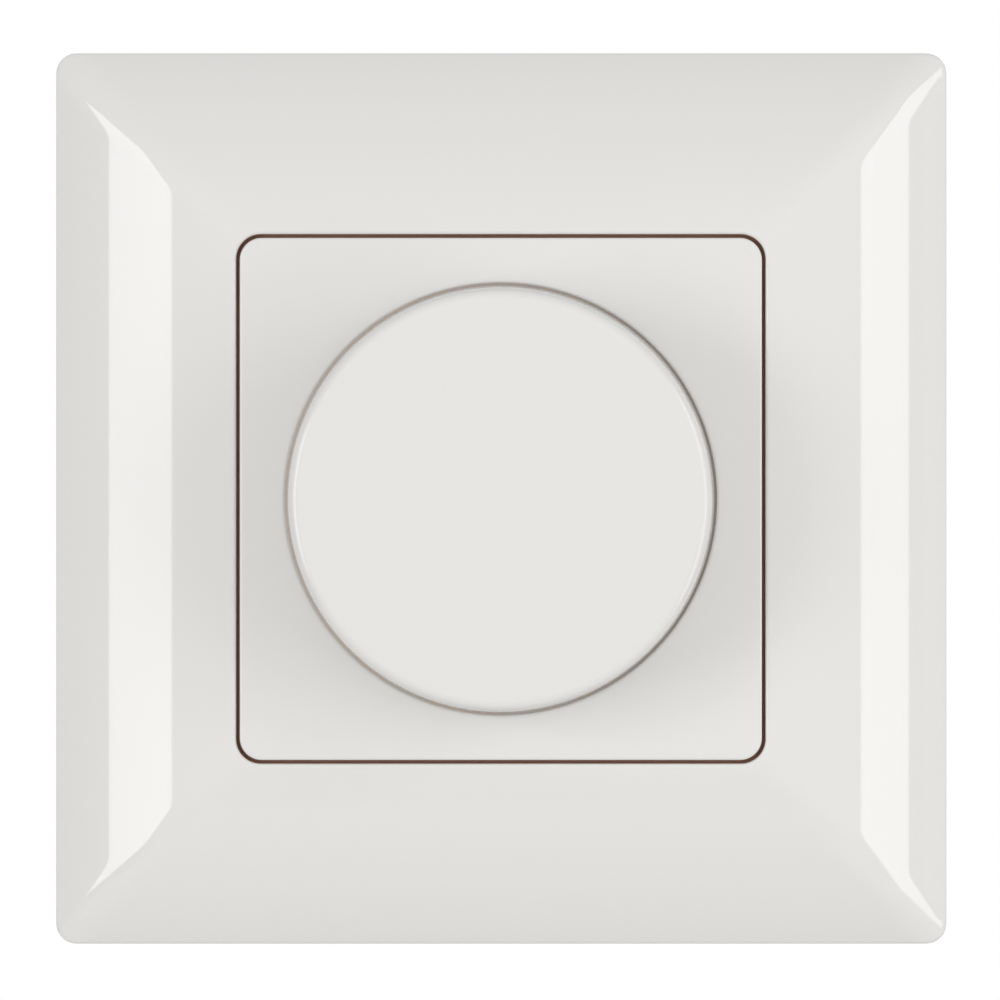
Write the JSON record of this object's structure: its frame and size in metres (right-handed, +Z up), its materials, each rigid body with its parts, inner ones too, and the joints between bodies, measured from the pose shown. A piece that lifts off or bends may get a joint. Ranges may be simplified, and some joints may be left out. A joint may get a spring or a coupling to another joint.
{
  "type": "rotary dimmer switch",
  "caption": "Square flush wall dimmer with a cushion-shaped cover frame, flat central plate and a round push-and-turn knob.",
  "frame": {"origin": "centre of the wall plane, in the middle of the four box screw slots", "axes": "+X to the right and +Z up as seen from the front, +Y into the wall; the knob turns about Y"},
  "size_m": [0.086, 0.0456, 0.086],
  "materials": {
    "black_plastic": "black moulding",
    "board": "green lacquered glass-fibre laminate",
    "brass": "bright brass",
    "bronze": "spring bronze",
    "can_sleeve": "dark blue sleeve",
    "copper_wire": "enamelled copper",
    "ferrite": "coated powder core",
    "film_box": "yellow capacitor box",
    "grey_plastic": "grey moulding",
    "housing_plastic": "light grey flame-proof moulding",
    "phenolic": "brown laminate with a carbon track",
    "red_plastic": "red moulding",
    "resistor_lacquer": "beige lacquer",
    "ring_steel": "zinc plated and yellow passivated sheet steel",
    "rivet_aluminium": "mill finish",
    "screw_steel": "zinc plated steel",
    "shaft_steel": "turned steel",
    "spring_steel": "spring steel",
    "varistor_lacquer": "blue lacquer",
    "white_plastic": "off-white glossy thermoplastic"
  },
  "bodies": {
    "base": {"cover_frame": "white_plastic", "central_plate": "white_plastic", "bush": "brass", "nut_washer": "screw_steel", "plate_nut": "brass", "pot_case": "black_plastic", "resistor_track": "phenolic", "switch_case": "grey_plastic", "switch_base": "grey_plastic", "fixed_contact_left": "brass", "fixed_contact_right": "brass", "switch_spring": "spring_steel", "support_ring": "ring_steel", "rivet_upper": "rivet_aluminium", "rivet_lower": "rivet_aluminium", "housing": "housing_plastic", "rear_cover": "housing_plastic", "cover_screw_upper": "screw_steel", "cover_screw_lower": "screw_steel", "circuit_board": "board", "board_screw_upper": "screw_steel", "board_screw_lower": "screw_steel", "choke_core": "ferrite", "choke_winding": "copper_wire", "electrolytic_capacitor": "can_sleeve", "film_capacitor": "film_box", "heat_spreader": "rivet_aluminium", "transistor_upper": "black_plastic", "transistor_lower": "black_plastic", "varistor": "varistor_lacquer", "resistor_a": "resistor_lacquer", "resistor_b": "resistor_lacquer", "control_chip": "black_plastic", "trimmer_body": "black_plastic", "terminal_block": "housing_plastic", "terminal_cage_1": "brass", "terminal_cage_2": "brass", "terminal_cage_3": "brass", "terminal_screw_1": "screw_steel", "terminal_screw_2": "screw_steel", "terminal_screw_3": "screw_steel"},
    "wiper": {"wiper_carrier": "grey_plastic", "wiper_spring": "bronze"},
    "knob": {"knob": "white_plastic", "knob_clip": "spring_steel", "shaft": "shaft_steel"},
    "switch_slider": {"switch_slider": "red_plastic", "contact_bridge": "bronze"},
    "claw_left": {"claw_left": "screw_steel", "claw_screw_left": "screw_steel"},
    "claw_right": {"claw_right": "screw_steel", "claw_screw_right": "screw_steel"},
    "trimmer": {"trimmer_rotor": "grey_plastic"}
  },
  "joints": [
    {"name": "knob_turn", "type": "hinge", "parent": "base", "child": "wiper", "pos_m": [0, 0, 0], "axis": [0, 1, 0], "range_deg": [-150, 150]},
    {"name": "knob_press", "type": "slide", "parent": "wiper", "child": "knob", "axis": [0, 1, 0], "range_m": [0, 0.0015], "stiffness_N_per_m": 2000, "springref_m": -0.002},
    {"name": "switch_press", "type": "slide", "parent": "base", "child": "switch_slider", "axis": [0, 1, 0], "range_m": [0, 0.0015], "deforming": ["switch_spring"]},
    {"name": "claw_left_swing", "type": "hinge", "parent": "base", "child": "claw_left", "pos_m": [-0.023, -0.001, 0], "axis": [0, 0, 1], "range_deg": [0, 10]},
    {"name": "claw_right_swing", "type": "hinge", "parent": "base", "child": "claw_right", "pos_m": [0.023, -0.001, 0], "axis": [0, 0, -1], "range_deg": [0, 10]},
    {"name": "trimmer_turn", "type": "hinge", "parent": "base", "child": "trimmer", "pos_m": [-0.013, 0, -0.0126], "axis": [0, 1, 0], "range_deg": [-135, 135]}
  ],
  "couplings": [
    {"joint": "switch_press", "follows": "knob_press", "ratio": 1}
  ]
}
